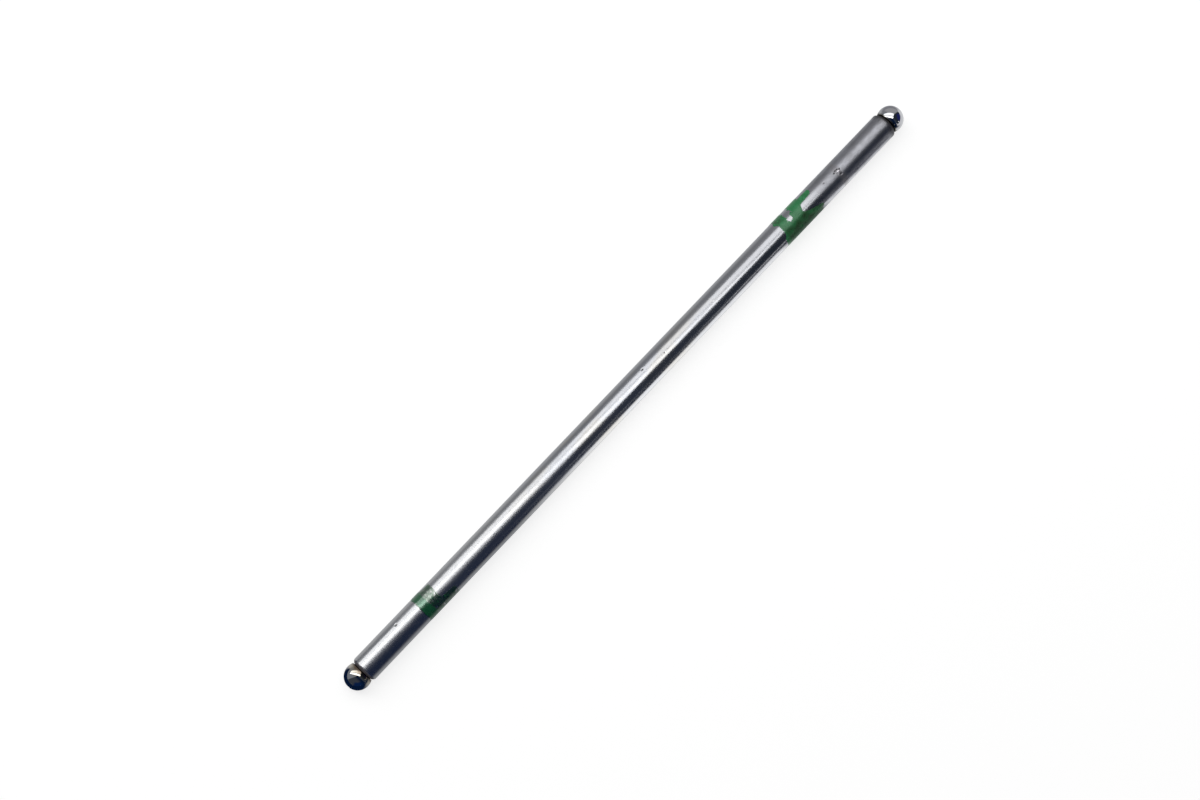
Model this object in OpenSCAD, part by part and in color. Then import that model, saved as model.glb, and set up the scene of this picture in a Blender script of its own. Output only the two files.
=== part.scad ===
// Tubular engine pushrod: a drawn steel tube with a hardened ball end pressed into each end,
// drilled through for oil, and a dab of green paint near each end.
// The rod lies along +X. The origin is the centre of the lifter ball, and +Z is up.

/* [Rod] */
// Length over the two balls, measured as full spheres
overall_length = 225; // [150:0.5:300]

/* [Tube] */
// Outside diameter of the steel tube
tube_od = 7.94; // [7.6:0.01:8.4]
// Wall thickness of the tube
tube_wall = 1.65; // [1.4:0.05:2]
// 45 degree chamfer round the outside of each tube end
tube_chamfer = 0.7; // [0.3:0.05:0.95]
// 45 degree lead-in chamfer in each mouth of the bore
bore_lead = 0.25; // [0.1:0.05:0.4]

/* [Ball ends] */
// Diameter of the ball that works in the rocker or lifter cup
ball_d = 7.75; // [7.2:0.05:8.2]
// Distance from the ball centre back to the tube's end face
seat_setback = 1.9; // [1.6:0.05:2.3]
// Width of the grinding relief turned behind the ball
relief_width = 0.25; // [0.15:0.05:0.5]
// Width of the shoulder that seats on the tube's end face
seat_land = 0.63; // [0.4:0.01:0.8]
// Length of the shank that is pressed into the tube
shank_length = 8; // [4:0.5:12]
// 45 degree chamfer on the shank's inner end
shank_lead = 0.4; // [0.2:0.05:0.6]
// Radial gap between shank and bore, nothing for a press fit
shank_gap = 0; // [0:0.005:0.02]

/* [Oil passage] */
// Diameter of the oil hole drilled through each ball end
oil_hole_d = 1.6; // [1:0.1:2.4]
// 45 degree broken edge at the oil hole's mouth
oil_countersink = 0.1; // [0.05:0.05:0.4]

/* [Paint marks] */
// Thickness of the paint film
paint_film = 0.05; // [0.03:0.01:0.1]
// Bare tube between the rocker end and the paint
rocker_mark_gap = 30.2; // [15:0.1:45]
// Width of the painted band that goes right round near the rocker end
rocker_band = 9.8; // [6:0.1:14]
// Reach of the smears beyond that band, towards the rocker end
rocker_smear = 5.8; // [3:0.1:9]
// Bare spot in the rocker end's band, where the brush skipped
skipped_spot_d = 1.8; // [1:0.1:2.4]
// Bare tube between the lifter end and the paint
lifter_mark_gap = 22.9; // [12:0.1:40]
// Width of the painted band that goes right round near the lifter end
lifter_band = 2.8; // [2:0.1:6]
// Reach of the long smear beyond that band, away from the lifter end
lifter_smear = 8.3; // [5:0.1:12]
// Reach of the short smear beside it
lifter_short_smear = 3.7; // [2:0.1:4.5]

/* [Hidden] */
$fn = 96;

steel_colour = [0.66, 0.67, 0.69];
ball_colour = [0.78, 0.79, 0.81];
paint_colour = [0.14, 0.42, 0.22];

// Cutters run past the faces that they open by this much
cut_over = 0.5;

ball_spacing = overall_length - ball_d;
tube_length = ball_spacing - 2 * seat_setback;
tube_bore = tube_od - 2 * tube_wall;
shank_d = tube_bore - 2 * shank_gap;
neck_d = shank_d + 2 * seat_land;
shank_end = seat_setback + shank_length;

// The ball's surface is cut off level by the oil hole this far from its centre
oil_mouth_flat = sqrt(pow(ball_d / 2, 2) - pow(oil_hole_d / 2 + oil_countersink, 2));

lifter_mark_width = lifter_band + lifter_smear;
rocker_mark_width = rocker_band + rocker_smear;
lifter_mark_x = seat_setback + lifter_mark_gap;
rocker_mark_x = seat_setback + tube_length - rocker_mark_gap - rocker_mark_width;

// Bare sectors beyond each band: [from angle, to angle, distance past the band where bare tube starts].
// Angles go round +X from the top of the rod, towards -Y.
rocker_bare = [[-20, 24, 0], [114, 309, 0]];
lifter_bare = [[107, 298, 0], [-62, 35, lifter_short_smear]];
skipped_spot_angle = -6;
skipped_spot_x = 0.53 * rocker_band;

// Lays a part that was turned about +Z along +X, with angle 0 at the top
module along_x() {
    rotate([0, 90, 0]) rotate([0, 0, 180]) children();
}

// Seamless tube, chamfered outside and deburred inside at both ends
module tube() {
    outer = tube_od / 2;
    inner = tube_bore / 2;
    color(steel_colour)
    translate([seat_setback, 0, 0])
    along_x()
    rotate_extrude()
    polygon([
        [inner + bore_lead, 0],
        [outer - tube_chamfer, 0],
        [outer, tube_chamfer],
        [outer, tube_length - tube_chamfer],
        [outer - tube_chamfer, tube_length],
        [inner + bore_lead, tube_length],
        [inner, tube_length - bore_lead],
        [inner, bore_lead]
    ]);
}

// Ball, relief neck and pressed shank in one turned and ground piece, with the ball centre at the
// origin and its tip towards +Z
module ball_end() {
    difference() {
        union() {
            ball_head();
            translate([0, 0, -seat_setback]) cylinder(d = neck_d, h = seat_setback);
            pressed_shank();
        }
        oil_passage();
    }
}

// The ball, cut off flat where the relief starts
module ball_head() {
    back = seat_setback - relief_width;
    intersection() {
        sphere(d = ball_d);
        translate([0, 0, -back]) cylinder(d = ball_d + 2 * cut_over, h = back + ball_d);
    }
}

module pressed_shank() {
    translate([0, 0, -shank_end]) {
        cylinder(d1 = shank_d - 2 * shank_lead, d2 = shank_d, h = shank_lead);
        translate([0, 0, shank_lead]) cylinder(d = shank_d, h = shank_end - shank_lead);
    }
}

module oil_passage() {
    mouth_d = oil_hole_d + 2 * oil_countersink;
    translate([0, 0, -shank_end - cut_over])
        cylinder(d = oil_hole_d, h = shank_end + ball_d / 2 + 2 * cut_over);
    translate([0, 0, oil_mouth_flat - oil_countersink])
        cylinder(d1 = oil_hole_d, d2 = mouth_d, h = oil_countersink);
    translate([0, 0, oil_mouth_flat])
        cylinder(d = mouth_d, h = ball_d / 2 - oil_mouth_flat + cut_over);
}

module rocker_ball_end() {
    color(ball_colour)
    translate([ball_spacing, 0, 0]) along_x() ball_end();
}

module lifter_ball_end() {
    color(ball_colour)
    along_x() mirror([0, 0, 1]) ball_end();
}

// A ring segment about +Z from angle a0 to a1 and from z0 to z1
module sector(r0, r1, z0, z1, a0, a1) {
    rotate([0, 0, a0])
    rotate_extrude(angle = a1 - a0)
    translate([r0, z0])
    square([r1 - r0, z1 - z0]);
}

// Film of paint on the tube: a band right round, with smears past its edge between the bare sectors
module paint_mark(band, width, bare) {
    r = tube_od / 2;
    difference() {
        rotate_extrude() translate([r, 0]) square([paint_film, width]);
        for (b = bare)
            sector(r - cut_over, r + cut_over, band + b[2], width + cut_over, b[0], b[1]);
    }
}

module rocker_paint_mark() {
    color(paint_colour)
    translate([rocker_mark_x, 0, 0])
    along_x()
    difference() {
        paint_mark(rocker_band, rocker_mark_width, rocker_bare);
        rotate([0, 0, skipped_spot_angle])
        translate([tube_od / 2 - cut_over, 0, skipped_spot_x])
        rotate([0, 90, 0])
        cylinder(d = skipped_spot_d, h = 2 * cut_over);
    }
}

module lifter_paint_mark() {
    color(paint_colour)
    translate([lifter_mark_x, 0, 0])
    along_x()
    paint_mark(lifter_band, lifter_mark_width, lifter_bare);
}

tube();
rocker_ball_end();
lifter_ball_end();
rocker_paint_mark();
lifter_paint_mark();
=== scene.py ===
import math

import bpy
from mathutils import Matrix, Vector, noise


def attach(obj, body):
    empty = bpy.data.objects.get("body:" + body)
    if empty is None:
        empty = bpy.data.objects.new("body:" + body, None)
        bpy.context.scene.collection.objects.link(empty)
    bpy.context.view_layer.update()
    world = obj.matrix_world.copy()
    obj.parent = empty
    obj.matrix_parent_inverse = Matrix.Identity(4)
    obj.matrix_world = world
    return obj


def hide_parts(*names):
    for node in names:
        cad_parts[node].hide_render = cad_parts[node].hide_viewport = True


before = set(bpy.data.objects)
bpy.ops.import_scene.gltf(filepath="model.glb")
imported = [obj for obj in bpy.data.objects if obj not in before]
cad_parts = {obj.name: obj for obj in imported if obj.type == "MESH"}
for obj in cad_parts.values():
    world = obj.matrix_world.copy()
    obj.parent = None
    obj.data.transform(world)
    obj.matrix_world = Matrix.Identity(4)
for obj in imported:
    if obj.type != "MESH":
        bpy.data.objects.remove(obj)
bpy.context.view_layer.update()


# Tube
# A seamless steel tube, drawn and then ground bright, with its two ends chamfered on a lathe. It carries
# the thrust, and the ball ends are pressed into its bore. Handling has left a few small dents in it.
MM = 0.001
tube_radius = 3.97
bore_radius = 2.32
tube_start = 1.9
tube_end = 215.35
end_chamfer = 0.7
mouth_chamfer = 0.25
turned_edge = 0.06
rolled_edge = 0.28
edge_steps = 6
edge_shoulder = 1.3
tube_sides = 256
plain_ring_gap = 2.5
dented_ring_gap = 0.12
dent_reach = 3
dent_lip = 0.35
skin = 0.001

# Each dent: place along the rod, angle from the top, half length, half width and depth
tube_dents = [
    (193.2, -6, 0.34, 0.26, 0.140),
    (193.9, -11, 0.38, 0.24, 0.150),
    (194.6, -10, 0.36, 0.24, 0.140),
    (195.2, -4, 0.32, 0.26, 0.130),
    (194.6, 1, 0.44, 0.38, -0.120),
    (193.8, 4, 0.28, 0.26, 0.050),
    (194.5, 16, 0.46, 0.30, 0.110),
    (189.1, -9, 0.36, 0.30, 0.080),
    (142.6, -3, 0.26, 0.22, 0.040),
    (122.4, -2, 0.34, 0.28, 0.090),
    (114.8, -20, 0.46, 0.30, 0.100),
    (17.1, -27, 0.42, 0.36, 0.110),
]


def softened(outline):
    """Round the corners of a closed outline of (x, radius, ease), each over its ease to either side."""
    rounded = []
    for before, corner, after in zip(outline[-1:] + outline[:-1], outline, outline[1:] + outline[:1]):
        ease = corner[2]
        corner = Vector(corner[:2])
        back = (Vector(before[:2]) - corner).normalized() * ease
        on = (Vector(after[:2]) - corner).normalized() * ease
        rounded.append(corner + back * edge_shoulder)
        for step in range(edge_steps + 1):
            share = step / edge_steps
            rounded.append(corner + back * (1 - share) ** 2 + on * share ** 2)
        rounded.append(corner + on * edge_shoulder)
    return [(point.x, point.y) for point in rounded]


def on_the_rod(x, angle, radius):
    """A point of the frame from millimetres along the rod, degrees from its top and a radius."""
    turn = math.radians(angle)
    return (x * MM, -radius * MM * math.sin(turn), radius * MM * math.cos(turn))


def meshed(name, points, faces, values):
    """A smooth mesh object that carries these named values at its points."""
    mesh = bpy.data.meshes.new(name)
    mesh.from_pydata(points, [], faces)
    mesh.validate()
    mesh.polygons.foreach_set("use_smooth", [True] * len(mesh.polygons))
    for label, numbers in values.items():
        mesh.attributes.new(label, "FLOAT", "POINT").data.foreach_set("value", numbers)
    mesh.update()
    piece = bpy.data.objects.new(name, mesh)
    bpy.context.scene.collection.objects.link(piece)
    return piece


def ring_faces(rings, sides, closed):
    """Faces between rings of points, with the last ring joined to the first if they are closed."""
    faces = []
    for ring in range(rings if closed else rings - 1):
        here = ring * sides
        there = (ring + 1) % rings * sides
        for side in range(sides):
            after = (side + 1) % sides
            faces.append((here + side, here + after, there + after, there + side))
    return faces


def turned_piece(name, outline, sides, sink=None):
    """Turn a closed outline of (x, radius) points about the rod's axis."""
    points = []
    depths = []
    for x, radius in outline:
        for side in range(sides):
            angle = 360 * side / sides
            depth = sink(x, angle, radius) if sink else 0
            points.append(on_the_rod(x, angle, radius - depth))
            depths.append(depth)
    return meshed(name, points, ring_faces(len(outline), sides, True), {"knocked_in": depths})


def angle_between(angle, other):
    """Degrees from one angle round to another, from -180 to 180."""
    return (angle - other + 180) % 360 - 180


def dent_depth(x, angle, radius):
    """How far handling has knocked the tube's outside in at a place."""
    if radius < tube_radius - skin:
        return 0
    total = 0
    for place, turn, half_length, half_width, depth in tube_dents:
        along = (x - place) / half_length
        if abs(along) > dent_reach:
            continue
        across = math.radians(angle_between(angle, turn)) * tube_radius / half_width
        far = along * along + across * across
        if far < dent_reach ** 2:
            total += depth * (1 - dent_lip * far) * math.exp(-far)
    return total


dented_rings = []
for place, turn, half_length, half_width, depth in tube_dents:
    rings_each_way = round(dent_reach * half_length / dented_ring_gap)
    for ring in range(-rings_each_way, rings_each_way + 1):
        dented_rings.append(round(place + ring * dented_ring_gap, 2))
straight_start = tube_start + end_chamfer + 2 * rolled_edge
straight_end = tube_end - end_chamfer - 2 * rolled_edge
plain_rings = math.floor((straight_end - straight_start) / plain_ring_gap)
ring_places = [straight_start + ring * plain_ring_gap for ring in range(plain_rings)]
ring_places = sorted(set(ring_places + dented_rings + [straight_end]))

tube_outline = softened(
    [
        (tube_start, bore_radius + mouth_chamfer, turned_edge),
        (tube_start, tube_radius - end_chamfer, turned_edge),
        (tube_start + end_chamfer, tube_radius, rolled_edge),
        (tube_end - end_chamfer, tube_radius, rolled_edge),
        (tube_end, tube_radius - end_chamfer, turned_edge),
        (tube_end, bore_radius + mouth_chamfer, turned_edge),
        (tube_end - mouth_chamfer, bore_radius, turned_edge),
        (tube_start + mouth_chamfer, bore_radius, turned_edge),
    ]
)
tube_middle = (tube_start + tube_end) / 2
split = next(i for i, (x, radius) in enumerate(tube_outline) if x > tube_middle)
tube_outline[split:split] = [(x, tube_radius) for x in ring_places]
tube = turned_piece("tube_dressed", tube_outline, tube_sides, dent_depth)


def new_finish(name):
    """A material with its node tree and its shader."""
    finish = bpy.data.materials.new(name)
    finish.use_nodes = True
    return finish, finish.node_tree, finish.node_tree.nodes["Principled BSDF"]


def part_space(tree):
    """The piece's own coordinates, in metres."""
    return tree.nodes.new("ShaderNodeTexCoord").outputs["Object"]


def split_place(tree):
    """Metres along the rod from the lifter ball's centre, across it to the far side, and up."""
    split_axes = tree.nodes.new("ShaderNodeSeparateXYZ")
    tree.links.new(part_space(tree), split_axes.inputs["Vector"])
    return split_axes.outputs["X"], split_axes.outputs["Y"], split_axes.outputs["Z"]


def grain(tree, per_metre, detail, stretch=(1, 1, 1)):
    """Noise with this many features to the metre, drawn out along the axes whose stretch is small."""
    place = tree.nodes.new("ShaderNodeMapping")
    place.inputs["Scale"].default_value = stretch
    texture = tree.nodes.new("ShaderNodeTexNoise")
    texture.inputs["Scale"].default_value = per_metre
    texture.inputs["Detail"].default_value = detail
    tree.links.new(part_space(tree), place.inputs["Vector"])
    tree.links.new(place.outputs["Vector"], texture.inputs["Vector"])
    return texture.outputs["Fac"]


def ranged(tree, value, low, high, to_low, to_high):
    """Ease a value from one range to another, and hold it at the ends."""
    step = tree.nodes.new("ShaderNodeMapRange")
    step.interpolation_type = "SMOOTHSTEP"
    step.inputs["From Min"].default_value = low
    step.inputs["From Max"].default_value = high
    step.inputs["To Min"].default_value = to_low
    step.inputs["To Max"].default_value = to_high
    tree.links.new(value, step.inputs["Value"])
    return step.outputs["Result"]


def grown(tree, value, start, full, most=1):
    """A share that eases from 0 at one value to its most at another."""
    return ranged(tree, value, start, full, 0, most)


def zoned(tree, place, start, full, most=1):
    """The same along the rod, between two places in millimetres."""
    return grown(tree, place, start * MM, full * MM, most)


def worked(tree, operation, first, second):
    """One step of arithmetic on two values, either of which may be a plain number."""
    step = tree.nodes.new("ShaderNodeMath")
    step.operation = operation
    for socket, value in zip(step.inputs, (first, second)):
        if isinstance(value, (int, float)):
            socket.default_value = value
        else:
            tree.links.new(value, socket)
    return step.outputs["Value"]


def roughened(tree, roughness, additions):
    """Add to a roughness, by shares of the surface and how much rougher each makes it."""
    for share, extra in additions:
        roughness = worked(tree, "ADD", roughness, worked(tree, "MULTIPLY", share, extra))
    return roughness


def blended(tree, share, first, second):
    """Mix two colours by a share, where each may be a colour or a socket."""
    step = tree.nodes.new("ShaderNodeMix")
    step.data_type = "RGBA"
    tree.links.new(share, step.inputs[0])
    for socket, colour in zip(step.inputs[6:8], (first, second)):
        if isinstance(colour, tuple):
            socket.default_value = (*colour, 1)
        else:
            tree.links.new(colour, socket)
    return step.outputs[2]


def carried(tree, name):
    """A value that the mesh carries at each point."""
    attribute = tree.nodes.new("ShaderNodeAttribute")
    attribute.attribute_name = name
    return attribute.outputs["Fac"]


def raised(tree, height, depth_mm, under=None):
    """A bump of this depth from a height between 0 and 1, over an earlier bump if there is one."""
    step = tree.nodes.new("ShaderNodeBump")
    step.inputs["Strength"].default_value = 1
    step.inputs["Distance"].default_value = depth_mm * MM
    tree.links.new(height, step.inputs["Height"])
    if under:
        tree.links.new(under, step.inputs["Normal"])
    return step.outputs["Normal"]


lifter_highlight_steel = (0.50, 0.502, 0.507)
ground_steel = (0.415, 0.422, 0.440)
warm_steel = (0.440, 0.425, 0.395)
smoky_steel = (0.345, 0.350, 0.366)
worn_steel = (0.378, 0.382, 0.398)
dull_steel = (0.330, 0.335, 0.360)
dark_steel = (0.245, 0.247, 0.262)
chamfer_steel = (0.220, 0.200, 0.215)
rusty_steel = (0.160, 0.135, 0.130)
dark_end_steel = (0.070, 0.066, 0.066)
dent_shade = (0.040, 0.035, 0.036)
glint_steel = (0.72, 0.69, 0.72)

# Where the finish changes along the rod, the lighter steel at the lifter end being a painted highlight:
# millimetres where it starts and is full, and its full share
rocker_dull_zone = (178.0, 191.0, 1)
lifter_dull_zone = (29.0, 18.0, 1)
lifter_highlight_zone = (90.0, 35.0, 1)
rocker_wear_zone = (115.0, 160.0, 1)
lifter_dark_end_zone = (2.4, 1.7, 0.5)
rocker_dark_end_zone = (212.6, 215.0, 0.85)
lifter_turned_zone = (2.7, 2.4, 1)
rocker_turned_zone = (214.5, 214.8, 1)
rust_zone = (1.5, 0.3, 0.25)
rust_middle = 194.4

# How noise and dents change the finish, with painted shade in the dents and a painted glint on the raised
# crest: a range of the noise or the depth, and what its ends give
mark_edge_creep = (0.3, 0.7, -0.3 * MM, 0.3 * MM)
warm_patches = (0.42, 0.62, 0, 0.7)
smoky_freckles = (0.54, 0.78, 0, 0.4)
dark_clouds = (0.36, 0.64, 0, 0.5)
dent_shade_depths = (0.015, 0.100, 0, 0.8)
glint_crests = (-0.010, -0.050, 0, 1)
smudge_roughness = (0.3, 0.7, 0.205, 0.285)
freckle_roughness = (0.35, 0.75, -0.010, 0.020)
rocker_dull_roughness = 0.08
lifter_dull_roughness = 0.03
dark_end_roughness = 0.12
turned_roughness = 0.22
dent_shade_nonmetal = 0.6
dirt_on_chamfer = 0.5
draw_line_depth = 0.0018
fine_grain_depth = 0.0003

tube_finish, tree, steel = new_finish("ground_tube_steel")
x = split_place(tree)[0]
rocker_dull = zoned(tree, x, *rocker_dull_zone)
lifter_dull = zoned(tree, x, *lifter_dull_zone)
lifter_highlight_share = zoned(tree, x, *lifter_highlight_zone)
rocker_wear = zoned(tree, x, *rocker_wear_zone)
smudges = grain(tree, per_metre=95, detail=5, stretch=(0.45, 1, 1))
clouds = grain(tree, per_metre=210, detail=4, stretch=(0.6, 1, 1))
tint_patches = grain(tree, per_metre=230, detail=4, stretch=(0.3, 1, 1))
freckles = grain(tree, per_metre=900, detail=3, stretch=(0.5, 1, 1))
draw_lines = grain(tree, per_metre=1700, detail=2, stretch=(0.012, 1, 1))
fine_grain = grain(tree, per_metre=1500, detail=2, stretch=(0.3, 1, 1))
creep = worked(tree, "ADD", x, ranged(tree, freckles, *mark_edge_creep))
lifter_dark_end = zoned(tree, creep, *lifter_dark_end_zone)
rocker_dark_end = zoned(tree, creep, *rocker_dark_end_zone)
lifter_turned = zoned(tree, x, *lifter_turned_zone)
rocker_turned = zoned(tree, x, *rocker_turned_zone)
turned = worked(tree, "MAXIMUM", lifter_turned, rocker_turned)
dark_ends = worked(tree, "MAXIMUM", lifter_dark_end, rocker_dark_end)
knock = carried(tree, "knocked_in")
dent_shade_share = ranged(tree, knock, *dent_shade_depths)
painted_glint = ranged(tree, knock, *glint_crests)
from_knocks = worked(tree, "ABSOLUTE", worked(tree, "SUBTRACT", creep, rust_middle * MM), 0)
rusty = zoned(tree, from_knocks, *rust_zone)

base = blended(tree, ranged(tree, tint_patches, *warm_patches), ground_steel, warm_steel)
# Lighter steel towards the lifter end, a painted brightening of the highlight there
base = blended(tree, lifter_highlight_share, base, lifter_highlight_steel)
base = blended(tree, rocker_wear, base, worn_steel)
base = blended(tree, ranged(tree, freckles, *smoky_freckles), base, smoky_steel)
cloudy = worked(tree, "ADD", ranged(tree, clouds, *dark_clouds), ranged(tree, freckles, *dark_clouds))
dulled = blended(tree, cloudy, dull_steel, dark_steel)
base = blended(tree, rocker_dull, base, dulled)
base = blended(tree, rusty, base, rusty_steel)
base = blended(tree, lifter_turned, base, chamfer_steel)
# Darker towards each end of the tube, over its last millimetres next to the balls
base = blended(tree, dark_ends, base, dark_end_steel)
# Painted shade in the dents: the deeper the tube is knocked in, the darker it is
base = blended(tree, dent_shade_share, base, dent_shade)
# Painted glint: lighter steel where a dent has raised the tube
base = blended(tree, painted_glint, base, glint_steel)
tree.links.new(base, steel.inputs["Base Color"])

roughness = ranged(tree, smudges, *smudge_roughness)
roughness = worked(tree, "ADD", roughness, ranged(tree, freckles, *freckle_roughness))
rougher_places = [
    (rocker_dull, rocker_dull_roughness),
    (lifter_dull, lifter_dull_roughness),
    (dark_ends, dark_end_roughness),
    (turned, turned_roughness),
]
tree.links.new(roughened(tree, roughness, rougher_places), steel.inputs["Roughness"])

lined = raised(tree, draw_lines, draw_line_depth)
tree.links.new(raised(tree, fine_grain, fine_grain_depth, lined), steel.inputs["Normal"])
# The dents' painted shade also makes them less metallic, as do the chamfer and the rust
shade_in_dents = worked(tree, "MULTIPLY", dent_shade_share, dent_shade_nonmetal)
on_chamfer = worked(tree, "MULTIPLY", lifter_turned, dirt_on_chamfer)
nonmetal_share = worked(tree, "MAXIMUM", worked(tree, "MAXIMUM", shade_in_dents, on_chamfer), rusty)
tree.links.new(worked(tree, "SUBTRACT", 1, nonmetal_share), steel.inputs["Metallic"])
tube.data.materials.append(tube_finish)
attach(tube, "root")
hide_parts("tube")


# Ball ends
# Two alike pieces of hardened steel, each a polished ball, a narrow relief and a shank pressed into the
# tube until its shoulder meets the end face. A small oil hole is drilled right through each one.
ball_spacing = 217.25
ball_radius = 3.875
seat_setback = 1.9
relief_width = 0.25
neck_radius = 2.95
shank_end = 9.9
shank_lead = 0.4
oil_hole_radius = 0.8
oil_hole_edge = 0.1
ball_edge = 0.03
ball_face = 0.7
ball_sides = 192
ball_steps = 72

ball_back = seat_setback - relief_width
oil_mouth_radius = oil_hole_radius + oil_hole_edge
oil_mouth = math.sqrt(ball_radius ** 2 - oil_mouth_radius ** 2)

# The outline runs over the ball from the oil hole's mouth, then along the neck and shank and back through
# the hole. The first corner stands for the ball's back face, and its points give way to the ball's curve.
points_per_corner = edge_steps + 3
shank_corners = softened(
    [
        (-ball_back, ball_radius - ball_face, ball_edge),
        (-ball_back, neck_radius, ball_edge),
        (-seat_setback, neck_radius, ball_edge),
        (-seat_setback, bore_radius, ball_edge),
        (-shank_end + shank_lead, bore_radius, ball_edge),
        (-shank_end, bore_radius - shank_lead, ball_edge),
        (-shank_end, oil_hole_radius, ball_edge),
        (oil_mouth - oil_hole_edge, oil_hole_radius, ball_edge),
    ]
)[points_per_corner:]
first_turn = math.asin(oil_mouth_radius / ball_radius)
last_turn = math.acos(-ball_back / ball_radius)
ball_curve = []
for step in range(ball_steps + 1):
    turn = first_turn + (last_turn - first_turn) * step / ball_steps
    ball_curve.append((ball_radius * math.cos(turn), ball_radius * math.sin(turn)))
ball_outline = ball_curve + shank_corners
lifter_outline = [(-u, radius) for u, radius in ball_outline]
rocker_outline = [(ball_spacing + u, radius) for u, radius in ball_outline]
lifter_ball = turned_piece("lifter_ball_dressed", lifter_outline, ball_sides)
rocker_ball = turned_piece("rocker_ball_dressed", rocker_outline, ball_sides)

polished_steel = (0.53, 0.535, 0.55)
straw_steel = (0.57, 0.525, 0.445)
brown_stain = (0.120, 0.075, 0.045)
olive_stain = (0.085, 0.075, 0.030)
relief_shade = (0.016, 0.013, 0.010)
relief_edge = 0.06
blotch_range = (0.2, 0.8)
mark_roughness = (0.35, 0.75, 0.02, 0.06)
stain_roughness = 0.10
relief_roughness = 0.35
mark_depth = 0.0006

# How far a stain's edge wanders, where it is full, and where its tint starts and is full, in shares of its
# reach, and then how strong the stain is
stain_wander = 0.45
stain_full = 0.1
tint_start = 2.4
tint_full = 0.8
stain_share = 0.85

for ball, seam, towards_tip, tint, stain, stain_reach in (
    (lifter_ball, ball_back, -1, straw_steel, brown_stain, 1.1),
    (rocker_ball, ball_spacing - ball_back, 1, polished_steel, olive_stain, 0.7),
):
    ball_finish, tree, steel = new_finish(ball.name.replace("_dressed", "_steel"))
    past_seam = worked(tree, "SUBTRACT", split_place(tree)[0], seam * MM)
    from_seam = worked(tree, "MULTIPLY", past_seam, towards_tip)
    blotches = grain(tree, per_metre=420, detail=4)
    fine_marks = grain(tree, per_metre=2600, detail=4)
    wander = stain_wander * stain_reach * MM
    wandering = worked(tree, "ADD", from_seam, ranged(tree, blotches, *blotch_range, -wander, wander))
    stained = zoned(tree, wandering, stain_reach, stain_full * stain_reach, stain_share)
    tinted = zoned(tree, wandering, tint_start * stain_reach, tint_full * stain_reach)
    # Painted shade in the narrow relief where the ball meets the tube, which is rougher too
    shaded_relief = zoned(tree, from_seam, relief_edge, 0)
    base = blended(tree, stained, blended(tree, tinted, polished_steel, tint), stain)
    base = blended(tree, shaded_relief, base, relief_shade)
    tree.links.new(base, steel.inputs["Base Color"])
    roughness = ranged(tree, fine_marks, *mark_roughness)
    rougher_places = [(stained, stain_roughness), (shaded_relief, relief_roughness)]
    tree.links.new(roughened(tree, roughness, rougher_places), steel.inputs["Roughness"])
    tree.links.new(raised(tree, fine_marks, mark_depth), steel.inputs["Normal"])
    steel.inputs["Metallic"].default_value = 1
    ball.data.materials.append(ball_finish)
    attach(ball, "root")
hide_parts("lifter_ball_end")
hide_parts("rocker_ball_end")


# Paint marks
# Two dabs of green marking paint, brushed on while the rod was turned: a broad one near the rocker end,
# with a skipped spot and smears past its edge, and a narrow one near the lifter end, half wiped off.
paint_cell = 0.11
paint_film = 0.05
paint_foot = 0.02
rim_share = 0.25
rim_rounding = (-0.1, 0.45)


def ragged(x, angle, size):
    """Smooth noise from -1 to 1 on the tube's surface, with features of this size."""
    return noise.noise(Vector(on_the_rod(x, angle, tube_radius)) / MM / size) * 2


def wandering_rim(x, angle, coarse, fine):
    """How far a brushed rim strays, from two noises that each have an amount and a size."""
    return coarse[0] * ragged(x, angle, coarse[1]) + fine[0] * ragged(x, angle, fine[1])


def eased_step(low, high, value):
    """0 below one value, 1 above the other, and smooth between."""
    share = min(1, max(0, (value - low) / (high - low)))
    return share * share * (3 - 2 * share)


def sector(angle, first, last, ease):
    """1 inside a sector of the tube, 0 outside it, eased over a few degrees."""
    half = (last - first) / 2
    off = abs(angle_between(angle, first + half))
    return 1 - eased_step(half - ease / 2, half + ease / 2, off)


# The rocker mark: millimetres along the rod, degrees from its top to the near side, sectors with an ease
rocker_stretch = (169.8, 187.2)
rocker_start = 170.9
rocker_end = 179.4
rocker_slant = 1.5
rocker_coarse = (0.24, 1.7)
rocker_fine = (0.15, 0.6)
start_bulge = 1.1
bulge_rise = (10, 58)
bulge_sector = (0, 140, 20)
start_lap = 0.4
lap_sector = (-100, -30, 16)
low_smear_length = 6.9
low_smear_rise = (9, 54)
low_smear_sector = (0, 120, 14)
high_smear_length = 4.4
high_smear_sector = (-51, -20, 5)
skip_place = 174.9
skip_angle = -9
skip_half_length = 0.92
skip_half_width = 0.80
skip_slope = 0.8
skip_wander = 0.5
skip_grain = 0.12
rim_grain = 0.08
rim_grain_size = 0.35
rocker_film = 0.85
rocker_film_spread = 0.10
rocker_film_size = 2.5

# Each scrape: its sector, and the places between which it comes in and goes out along the rod
scrapes = [
    ((-95, -26, 14), (173.9, 174.6), (176.9, 176.1)),
    ((-42, -12, 6), (174.0, 174.5), (175.7, 175.2)),
]
least_scrape = 0.02
scrape_cut = 0.85
flakes_left = 0.45
flake_spread = 0.45
flake_size = 0.7

# Each darkened patch: its sector, where it comes in along the rod, and its level, spread and size. The
# first is painted shade along the near side, the second real olive soiling at the far side of the start
soil_and_shade_patches = [
    ((14, 84, 24), (169.6, 172.4), 0.72, 0.22, 1.6),
    ((-100, -22, 14), (174.6, 173.2), 0.35, 0.4, 0.9),
]


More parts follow.
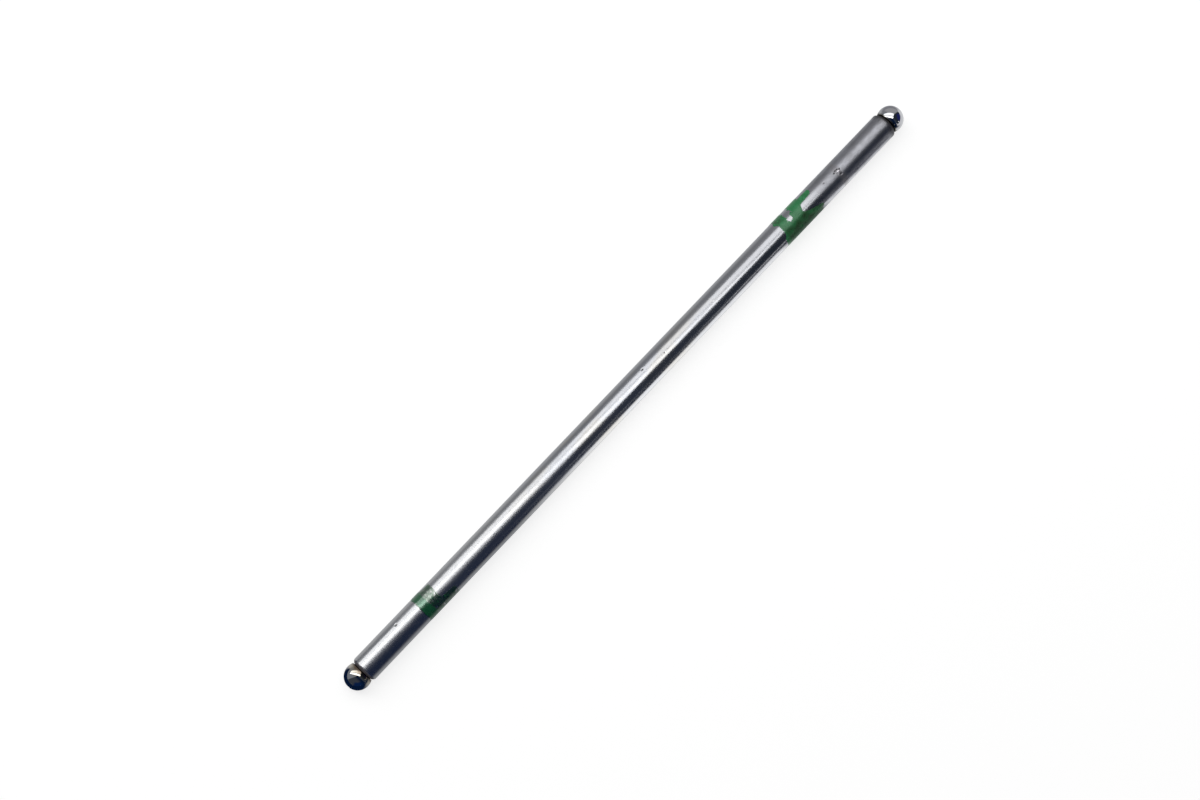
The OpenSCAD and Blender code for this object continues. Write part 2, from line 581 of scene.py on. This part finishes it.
def rocker_paint(x, angle):
    """Millimetres inside the rocker mark's outline, below 0 outside it, with the film and the soiling and
    painted shade.
    """
    around = angle_between(angle, 0)
    wander = wandering_rim(x, angle, rocker_coarse, rocker_fine)
    low_smear = eased_step(*low_smear_rise, around) * sector(angle, *low_smear_sector)
    high_smear = sector(angle, *high_smear_sector)
    bulge = start_bulge * eased_step(*bulge_rise, around) * sector(angle, *bulge_sector)
    start = rocker_start - bulge - start_lap * sector(angle, *lap_sector)
    slant = rocker_slant * math.sin(math.radians(angle))
    end = rocker_end - slant + max(low_smear_length * low_smear, high_smear_length * high_smear)
    inside = min(x - start, end - x) + wander
    fine = ragged(x, angle, rim_grain_size)
    skip_arc = math.radians(angle_between(angle, skip_angle)) * tube_radius
    skipped = math.hypot((x - skip_place) / skip_half_length, skip_arc / skip_half_width) - 1
    inside = min(inside, skip_slope * skipped + skip_wander * wander + skip_grain * fine)
    scraped = 0
    for sides, way_in, way_out in scrapes:
        scraped = max(scraped, sector(angle, *sides) * eased_step(*way_in, x) * eased_step(*way_out, x))
    if scraped > least_scrape:
        flakes = flake_spread * ragged(x, angle, flake_size) + flakes_left
        inside = min(inside, flakes - scrape_cut * scraped)
    inside += rim_grain * fine
    thick = rocker_film + rocker_film_spread * ragged(x, angle, rocker_film_size)
    # Darkening: painted shade along the near side, and real soiling at the far side of the start
    soil_and_shade = 0
    for sides, way_in, level, spread, size in soil_and_shade_patches:
        soil_and_shade += sector(angle, *sides) * eased_step(*way_in, x) * (level + spread * ragged(x, angle, size))
    return inside, thick, soil_and_shade


# The lifter mark, in the same measures
lifter_stretch = (24.2, 36.6)
lifter_start = 24.65
lifter_end = 27.75
lifter_coarse = (0.16, 1.3)
lifter_fine = (0.10, 0.5)
smear_start = 26
smear_root = 27.2
smear_limit = 36.0
short_smear_length = 3.9
short_smear_sector = (-62, 42, 12)
long_smear_length = 8.8
long_smear_sector = (34, 112, 14)
smear_wander = 1.5
smear_breaks = 0.6
smear_break_size = 0.75
smear_left = 0.66
band_cover = (-0.1, 0.4)
band_film = 0.60
band_film_spread = 0.015
band_film_size = 0.8
rubbed_off = 0.05
rubbed_sector = (-22, 3, 18)
smear_film = 0.45
smear_film_spread = 0.07
smear_film_size = 0.9
worn_spots = 0.10
worn_spot_size = 0.5
worn_sector = (-32, 0, 10)
smear_rim_thinning = 0.15
smear_rim = (0.4, 0)


def lifter_paint(x, angle):
    """The same for the lifter mark, whose smears are thin and broken and whose film is neither soiled nor
    shaded.
    """
    wander = wandering_rim(x, angle, lifter_coarse, lifter_fine)
    band = min(x - lifter_start, lifter_end - x) + wander
    short_smear = sector(angle, *short_smear_sector)
    long_smear = sector(angle, *long_smear_sector)
    reach = smear_root + short_smear_length * short_smear + long_smear_length * long_smear
    smear = min(x - smear_start, min(reach, smear_limit) - x) + smear_wander * wander
    smear = min(smear, smear_left + smear_breaks * ragged(x, angle, smear_break_size))
    covered = eased_step(*band_cover, band)
    layer = band_film - rubbed_off * sector(angle, *rubbed_sector)
    layer += band_film_spread * ragged(x, angle, band_film_size)
    thin = smear_film + smear_film_spread * ragged(x, angle, smear_film_size)
    thin -= worn_spots * max(0, ragged(x, angle, worn_spot_size)) * sector(angle, *worn_sector)
    thin -= smear_rim_thinning * eased_step(*smear_rim, smear)
    return max(band, smear), thin + (layer - thin) * covered, 0


def painted(name, first_x, last_x, paint_at):
    """Lay a film on the tube wherever the mark is, rounded off towards its ragged rim."""
    columns = round(2 * math.pi * tube_radius / paint_cell)
    rows = round((last_x - first_x) / paint_cell)
    places = []
    for row in range(rows + 1):
        x = first_x + row * paint_cell
        for column in range(columns):
            angle = 360 * column / columns
            places.append((x, angle, *paint_at(x, angle)))
    cells = []
    for row in range(rows):
        for column in range(columns):
            after = (column + 1) % columns
            corners = (
                row * columns + column,
                row * columns + after,
                (row + 1) * columns + after,
                (row + 1) * columns + column,
            )
            if sum(places[corner][2] for corner in corners) > 0:
                cells.append(corners)

    # Edges with paint on one side only are the rim, which goes down to the steel
    edges = {}
    for cell in cells:
        for first, second in zip(cell, cell[1:] + cell[:1]):
            edges[first, second] = (second, first) not in edges
            if (second, first) in edges:
                edges[second, first] = False
    rim = [edge for edge, is_rim in edges.items() if is_rim]
    numbers = {}
    points = []
    films = []
    soil_and_shade_levels = []
    for corner in sorted({corner for cell in cells for corner in cell}):
        x, angle, inside, thick, soil_and_shade = places[corner]
        rounded = eased_step(*rim_rounding, inside)
        height = paint_film * thick * (rim_share + (1 - rim_share) * rounded)
        numbers[corner] = len(points)
        points.append(on_the_rod(x, angle, tube_radius + height))
        films.append(max(0, min(1, thick)))
        soil_and_shade_levels.append(max(0, min(1, soil_and_shade)))
    lips = {}
    for corner in sorted({corner for edge in rim for corner in edge}):
        x, angle = places[corner][:2]
        lips[corner] = len(points)
        points.append(points[numbers[corner]])
        points.append(on_the_rod(x, angle, tube_radius - paint_foot))
        films += [films[numbers[corner]]] * 2
        soil_and_shade_levels += [soil_and_shade_levels[numbers[corner]]] * 2
    faces = [tuple(numbers[corner] for corner in cell) for cell in cells]
    faces += [(lips[second], lips[first], lips[first] + 1, lips[second] + 1) for first, second in rim]
    return meshed(name, points, faces, {"film": films, "soiled_and_shaded": soil_and_shade_levels})


rocker_mark = painted("rocker_paint_dressed", *rocker_stretch, rocker_paint)
lifter_mark = painted("lifter_paint_dressed", *lifter_stretch, lifter_paint)

bright_green = (0.018, 0.192, 0.058)
pale_green = (0.030, 0.255, 0.086)
olive_green = (0.026, 0.066, 0.026)
deep_green = (0.005, 0.082, 0.025)
leaf_green = (0.009, 0.110, 0.036)
bare_steel = (0.36, 0.375, 0.35)
tinted_steel = (0.19, 0.235, 0.195)
green_steel = (0.30, 0.56, 0.40)
paint_index = 1.9
stroke_depth = 0.010
mottle_depth = 0.005
noise_middle = (0.3, 0.7)


def brushed_green(name, dark, light, shine, smoothest, roughest):
    """Paint with brush strokes in it, soiled and darkened with painted shade where the mesh says so."""
    finish, tree, paint = new_finish(name)
    strokes = grain(tree, per_metre=900, detail=3, stretch=(1, 0.35, 0.35))
    mottle = grain(tree, per_metre=1500, detail=4)
    base = blended(tree, grown(tree, strokes, *noise_middle), dark, light)
    # Olive where the mark is soiled and where shade is painted on its near side
    base = blended(tree, carried(tree, "soiled_and_shaded"), base, olive_green)
    tree.links.new(base, paint.inputs["Base Color"])
    tree.links.new(ranged(tree, mottle, *noise_middle, smoothest, roughest), paint.inputs["Roughness"])
    paint.inputs["IOR"].default_value = paint_index
    paint.inputs["Specular IOR Level"].default_value = shine
    mottled = raised(tree, mottle, mottle_depth)
    tree.links.new(raised(tree, strokes, stroke_depth, mottled), paint.inputs["Normal"])
    return finish, tree, paint


rocker_finish, tree, paint = brushed_green(
    "thick_green_paint", bright_green, pale_green, shine=0.22, smoothest=0.25, roughest=0.37
)
lifter_finish, tree, paint = brushed_green(
    "thin_green_paint", deep_green, leaf_green, shine=0.38, smoothest=0.13, roughest=0.20
)

# The lifter mark's film is so thin that the steel under it shows through, tinted
tinting_film = (0.25, 0.50)
greening_film = (0.50, 0.56)
steel_through_film = (0.44, 0.60, 0.80, 0.10)
seen_steel_roughness = (0.20, 0.28)
film = carried(tree, "film")
seen_steel = tree.nodes.new("ShaderNodeBsdfPrincipled")
base = blended(tree, grown(tree, film, *tinting_film), bare_steel, tinted_steel)
base = blended(tree, grown(tree, film, *greening_film), base, green_steel)
tree.links.new(base, seen_steel.inputs["Base Color"])
seen_steel.inputs["Metallic"].default_value = 1
steel_grain = grain(tree, per_metre=1500, detail=4)
roughness = ranged(tree, steel_grain, *noise_middle, *seen_steel_roughness)
tree.links.new(roughness, seen_steel.inputs["Roughness"])
both = tree.nodes.new("ShaderNodeMixShader")
tree.links.new(ranged(tree, film, *steel_through_film), both.inputs["Fac"])
tree.links.new(paint.outputs["BSDF"], both.inputs[1])
tree.links.new(seen_steel.outputs["BSDF"], both.inputs[2])
tree.links.new(both.outputs["Shader"], tree.nodes["Material Output"].inputs["Surface"])

for mark, node, finish in (
    (rocker_mark, "rocker_paint_mark", rocker_finish),
    (lifter_mark, "lifter_paint_mark", lifter_finish),
):
    mark.data.materials.append(finish)
    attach(mark, "root")
    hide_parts(node)


# Floor
# A plain white table that the rod lies on. It shows white to the camera by a glow of its own and keeps
# the rod's soft shadow, while the steel mirrors a card that lies just above it.
floor_level = -(tube_radius + paint_film)
floor_reach = 5.0
floor_white = (0.86, 0.86, 0.86)
floor_seen = (0.43, 0.43, 0.43)
floor_glow = 0.76
floor_roughness = 0.9


def staged(name, points, faces):
    """A sheet of the stage, which is no part of the object."""
    sheet = meshed(name, points, faces, {})
    return sheet


def level_square(name, level):
    """A large flat sheet of the stage at this height in millimetres."""
    corners = [(-1, -1), (1, -1), (1, 1), (-1, 1)]
    points = [(floor_reach * i, floor_reach * j, level * MM) for i, j in corners]
    return staged(name, points, [(0, 1, 2, 3)])


floor = level_square("floor", floor_level)


def seen_directly(tree):
    """1 for rays that see a surface by eye or in steel or glass, 0 for those that light it."""
    path = tree.nodes.new("ShaderNodeLightPath")
    seen = worked(tree, "MAXIMUM", path.outputs["Is Camera Ray"], path.outputs["Is Glossy Ray"])
    return worked(tree, "MAXIMUM", seen, path.outputs["Is Transmission Ray"])


floor_finish, tree, table = new_finish("white_table")
seen = seen_directly(tree)
tree.links.new(blended(tree, seen, floor_white, floor_seen), table.inputs["Base Color"])
table.inputs["Roughness"].default_value = floor_roughness
table.inputs["Specular IOR Level"].default_value = 0
table.inputs["Emission Color"].default_value = (1, 1, 1, 1)
tree.links.new(worked(tree, "MULTIPLY", seen, floor_glow), table.inputs["Emission Strength"])
floor_finish.cycles.emission_sampling = "NONE"
floor.data.materials.append(floor_finish)


# Light and reflection cards
# A softbox of two panels hangs overhead, turned across the rod and reaching far to the left, and three
# small lamps stand low on the near side. Cards that only reflections show give the steel a room to
# mirror, grey on the far side and navy on the near side, and a pale table close to the rod.
softbox_turn = math.radians(-62)
softbox_right = 0.455
softbox_left = -2.10
softbox_height = 1.0

# Each panel: its name, its near and far edge in metres, and its brightness
softbox_panels = [("near_panel", 0.073, 0.32, 3.0), ("far_panel", 0.41, 0.91, 1.65)]
lamp_width = 0.036
lamp_height = 0.028

# Each lamp: its place in metres, and its brightness
lamps = [((0.131, -0.374, 0.112), 0.9), ((0.259, -0.440, 0.059), 3.3), ((0.407, -0.440, 0.103), 3.3)]
lamp_aim = (0.15, 0, 0)
room_light = 0.15


def area_light(name, width, height, brightness):
    """A rectangular light that is this bright wherever it is mirrored."""
    light = bpy.data.lights.new(name, "AREA")
    light.shape = "RECTANGLE"
    light.size = width
    light.size_y = height
    light.energy = brightness * math.pi * width * height
    stand = bpy.data.objects.new(name, light)
    bpy.context.scene.collection.objects.link(stand)
    return stand


for name, near_edge, far_edge, brightness in softbox_panels:
    panel = area_light(name, softbox_right - softbox_left, far_edge - near_edge, brightness)
    across = (softbox_right + softbox_left) / 2
    away = (near_edge + far_edge) / 2
    panel.location.x = across * math.cos(softbox_turn) - away * math.sin(softbox_turn)
    panel.location.y = across * math.sin(softbox_turn) + away * math.cos(softbox_turn)
    panel.location.z = softbox_height
    panel.rotation_euler.z = softbox_turn

for number, (place, brightness) in enumerate(lamps, start=1):
    lamp = area_light(f"lamp_{number}", lamp_width, lamp_height, brightness)
    lamp.location = place
    lamp.rotation_euler = (Vector(lamp_aim) - Vector(place)).to_track_quat("-Z", "Y").to_euler()

world = bpy.data.worlds.new("plain_room")
world.use_nodes = True
tree = world.node_tree
room = tree.nodes["Background"]
room.inputs["Color"].default_value = (1, 1, 1, 1)
room.inputs["Strength"].default_value = room_light
white_wall = tree.nodes.new("ShaderNodeBackground")
white_wall.inputs["Color"].default_value = (1, 1, 1, 1)
either = tree.nodes.new("ShaderNodeMixShader")
tree.links.new(seen_directly(tree), either.inputs["Fac"])
tree.links.new(room.outputs["Background"], either.inputs[1])
tree.links.new(white_wall.outputs["Background"], either.inputs[2])
tree.links.new(either.outputs["Shader"], tree.nodes["World Output"].inputs["Surface"])
bpy.context.scene.world = world


def shown_only_in_steel(sheet, colour_of):
    """Give a card its own glow and hide it from everything but reflections."""
    finish = bpy.data.materials.new(sheet.name)
    finish.use_nodes = True
    tree = finish.node_tree
    tree.nodes.remove(tree.nodes["Principled BSDF"])
    glow = tree.nodes.new("ShaderNodeEmission")
    tree.links.new(colour_of(tree), glow.inputs["Color"])
    tree.links.new(glow.outputs["Emission"], tree.nodes["Material Output"].inputs["Surface"])
    finish.cycles.emission_sampling = "NONE"
    sheet.data.materials.append(finish)
    sheet.visible_camera = False
    sheet.visible_diffuse = False
    sheet.visible_transmission = False
    sheet.visible_shadow = False


grey_room = (0.285, 0.297, 0.322)
pale_room = (0.48, 0.475, 0.49)
navy_room = (0.003, 0.013, 0.049)
slate_room = (0.053, 0.064, 0.092)
ink_room = (0.026, 0.034, 0.046)
end_room = (0.058, 0.065, 0.080)
blue_room = (0.005, 0.022, 0.090)
violet_room = (0.019, 0.024, 0.145)
room_radius = 3.5
room_levels = 12
room_sides = 48

# Where the room's colours come in, in metres: along the rod unless a name says across it or above it
near_side_across = (-0.5, 0)
lifter_corner = -0.7
lifter_corner_slope = 0.6
rocker_corner = (1.0, 2.4, 0.4)
pale_from = (0.6, 1.6)
slate_from = (-0.1, 0.5)
ink_from = (0.55, 1.1)
end_from = (-0.2, -1.8)
low_above = (2.4, 1.6)
blue_across = (-0.5, -1.6)
violet_from = (1.4, 2.4)
violet_across = (-0.5, -1.1)


def room_colour(tree):
    """Grey on the far side of the room and navy on the near side, paler and bluer towards the ends."""
    along, across, up = split_place(tree)
    past_lifter = worked(tree, "MAXIMUM", worked(tree, "SUBTRACT", lifter_corner, along), 0)
    side = worked(tree, "SUBTRACT", worked(tree, "MULTIPLY", past_lifter, lifter_corner_slope), across)
    side = worked(tree, "SUBTRACT", side, grown(tree, along, *rocker_corner))
    far = blended(tree, grown(tree, along, *pale_from), grey_room, pale_room)
    near = blended(tree, grown(tree, along, *slate_from), navy_room, slate_room)
    near = blended(tree, grown(tree, along, *ink_from), near, ink_room)
    low = grown(tree, up, *low_above)
    low_left = worked(tree, "MULTIPLY", low, grown(tree, across, *blue_across))
    left = blended(tree, low_left, end_room, blue_room)
    near = blended(tree, grown(tree, along, *end_from), near, left)
    low_right = worked(tree, "MULTIPLY", low, grown(tree, across, *violet_across))
    low_right = worked(tree, "MULTIPLY", low_right, grown(tree, along, *violet_from))
    near = blended(tree, low_right, near, violet_room)
    return blended(tree, grown(tree, side, *near_side_across), far, near)


room_points = []
for level in range(room_levels + 1):
    height = math.radians(90 * level / room_levels)
    away = room_radius * math.cos(height)
    up = room_radius * math.sin(height)
    for side in range(room_sides):
        turn = 2 * math.pi * side / room_sides
        room_points.append((away * math.cos(turn), away * math.sin(turn), up))
room_faces = ring_faces(room_levels + 1, room_sides, False)
shown_only_in_steel(staged("mirrored_room", room_points, room_faces), room_colour)

far_table = (0.64, 0.648, 0.665)
distant_table = (0.42, 0.425, 0.435)
shaded_table = (0.42, 0.43, 0.45)
dim_table = (0.15, 0.155, 0.17)
lit_table = (1.8, 1.8, 1.8)
pale_table = (1.0, 1.0, 1.02)
dusky_table = (0.30, 0.30, 0.33)
mirror_gap = 0.01

# Where the table's colours come in, in millimetres along the rod, or across it towards the far side
lit_from = (54, 102)
lit_until = (205, 220)
lit_left = 0.4
paint_from = (168, 175)
paint_until = (185.5, 190.5)
narrowing = (187, 205, 16 * MM)
lifter_tip = (1, -4)
rocker_tip = (216, 226, 0.9)
under_rod_across = (-7, -4)
far_side_across = (-3, 2)
distant_across = (8, 45)
dim_across = (-10, -22)
dark_across = (-22, -36)
unlit_across = (-20, -36)
dusk_across = (-3, 8)


def table_colour(tree):
    """White along the near side of the rod, shaded at the lifter end, and grey on the far side."""
    along, across = split_place(tree)[:2]
    far = blended(tree, zoned(tree, across, *distant_across), far_table, distant_table)
    shaded = blended(tree, zoned(tree, across, *dim_across), shaded_table, dim_table)
    shaded = blended(tree, zoned(tree, across, *dark_across), shaded, navy_room)
    narrowed = worked(tree, "SUBTRACT", across, zoned(tree, along, *narrowing))
    lit = blended(tree, zoned(tree, narrowed, *unlit_across), lit_table, navy_room)
    lit = blended(tree, zoned(tree, across, *under_rod_across), lit, shaded_table)
    fading = ranged(tree, along, lit_until[0] * MM, lit_until[1] * MM, 1, lit_left)
    share = worked(tree, "MULTIPLY", zoned(tree, along, *lit_from), fading)
    before_paint = zoned(tree, along, *paint_from[::-1])
    beside_paint = worked(tree, "MAXIMUM", before_paint, zoned(tree, along, *paint_until))
    near = blended(tree, worked(tree, "MULTIPLY", share, beside_paint), shaded, lit)
    table = blended(tree, zoned(tree, across, *far_side_across), near, far)
    table = blended(tree, zoned(tree, along, *lifter_tip), table, navy_room)
    beyond = blended(tree, zoned(tree, across, *dusk_across), pale_table, dusky_table)
    return blended(tree, zoned(tree, along, *rocker_tip), table, beyond)


shown_only_in_steel(level_square("mirrored_table", floor_level + mirror_gap), table_colour)


# Camera
# It looks down on the rod from above the near side, so that the rod runs from the lower left to the upper
# right, a little smaller towards the rocker end.
camera_place = (0.030323, -0.062100, 0.550030)
camera_turn = math.radians(-46.694)
camera_tilt = math.radians(10)
camera_lens = 60
camera_sensor = 36
camera_nearest = 0.01

camera = bpy.data.cameras.new("camera")
camera.lens = camera_lens
camera.sensor_width = camera_sensor
camera.clip_start = camera_nearest
camera_stand = bpy.data.objects.new("camera", camera)
camera_stand.location = camera_place
camera_stand.rotation_euler = (camera_tilt, 0, camera_turn)
bpy.context.scene.collection.objects.link(camera_stand)
bpy.context.scene.camera = camera_stand
bpy.context.scene.view_settings.view_transform = "Standard"
